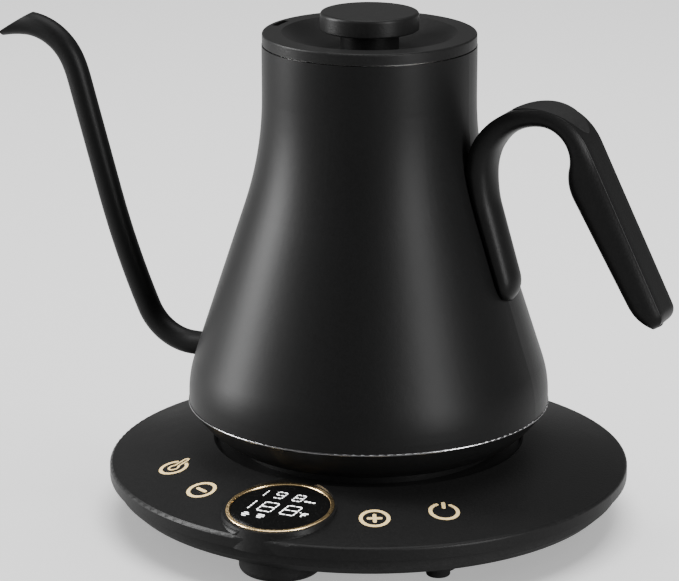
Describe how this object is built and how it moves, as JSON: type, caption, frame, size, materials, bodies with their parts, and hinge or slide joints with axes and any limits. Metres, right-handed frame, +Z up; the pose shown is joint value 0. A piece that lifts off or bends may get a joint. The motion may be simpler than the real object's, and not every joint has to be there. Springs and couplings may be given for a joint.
{
  "type": "electric kettle",
  "caption": "Gooseneck electric kettle with a conical body, arched handle and lift-off lid, on a round heated base with a tilted display and touch icons.",
  "frame": {"origin": "on the kettle's vertical axis, in the plane of the base's rubber feet", "axes": "+Z up, +X towards the handle, -X towards the spout, -Y towards the display, the user's side"},
  "size_m": [0.2799, 0.2012, 0.197],
  "materials": {
    "plate_black": "satin black, fine texture",
    "shell_grey": "dark grey, matte",
    "gold_trim": "champagne gold, satin",
    "display_glass": "gloss black window",
    "gold_ink": "champagne gold print",
    "board_plastic": "moulded",
    "circuit_board": "fibreglass board",
    "spring_steel": "plain",
    "aluminium_can": "satin",
    "connector_plastic": "heat-proof moulded plastic",
    "brass_contact": "plain",
    "screw_steel": "zinc plated",
    "rubber_black": "matte rubber",
    "body_paint": "matte black powder coat",
    "polished_steel": "polished",
    "brushed_inside": "brushed",
    "silicone": "translucent silicone",
    "cover_black": "satin black",
    "handle_black": "satin black, soft touch",
    "thumb_rest_black": "soft black inlay",
    "lid_black": "satin black",
    "knob_black": "satin black"
  },
  "bodies": {
    "base": {"base_top_cover": "plate_black", "base_bottom_cover": "shell_grey", "display_trim_ring": "gold_trim", "display_lens": "display_glass", "display_module": "board_plastic", "touch_icon_preset": "gold_ink", "touch_icon_minus": "gold_ink", "touch_icon_plus": "gold_ink", "touch_icon_power": "gold_ink", "touch_board": "circuit_board", "touch_springs": "spring_steel", "buzzer": "board_plastic", "power_board": "circuit_board", "relay": "board_plastic", "transformer": "spring_steel", "capacitor": "aluminium_can", "power_socket": "connector_plastic", "socket_contacts": "brass_contact", "socket_screws": "screw_steel", "case_screws": "screw_steel", "rubber_feet": "rubber_black", "cord_gland": "rubber_black"},
    "connector": {"connector_plug": "connector_plastic", "contact_pin": "brass_contact", "contact_rings": "brass_contact"},
    "kettle": {"kettle_body": "body_paint", "rim_band": "polished_steel", "spout": "body_paint", "spout_strainer": "brushed_inside", "heating_plate": "brushed_inside", "heat_spreader": "aluminium_can", "heating_element": "aluminium_can", "element_pins": "spring_steel", "temperature_probe": "brushed_inside", "probe_gasket": "silicone", "thermal_cutouts": "board_plastic", "kettle_base_cover": "cover_black", "cover_screws": "screw_steel", "handle": "handle_black", "thumb_rest": "thumb_rest_black", "handle_bracket": "brushed_inside", "handle_screws": "screw_steel"},
    "lid": {"lid_cap": "lid_black", "lid_stem": "knob_black", "lid_knob": "knob_black", "lid_screw": "screw_steel", "lid_inner_cover": "brushed_inside", "lid_seal": "silicone"}
  },
  "joints": [
    {"name": "kettle_lift", "type": "slide", "parent": "base", "child": "connector", "axis": [0, 0, 1], "range_m": [0, 0.12]},
    {"name": "kettle_swivel", "type": "hinge", "parent": "connector", "child": "kettle", "pos_m": [0, 0, 0.04], "axis": [0, 0, 1], "continuous": true},
    {"name": "lid_lift", "type": "slide", "parent": "kettle", "child": "lid", "axis": [0, 0, 1], "range_m": [0, 0.06]}
  ]
}
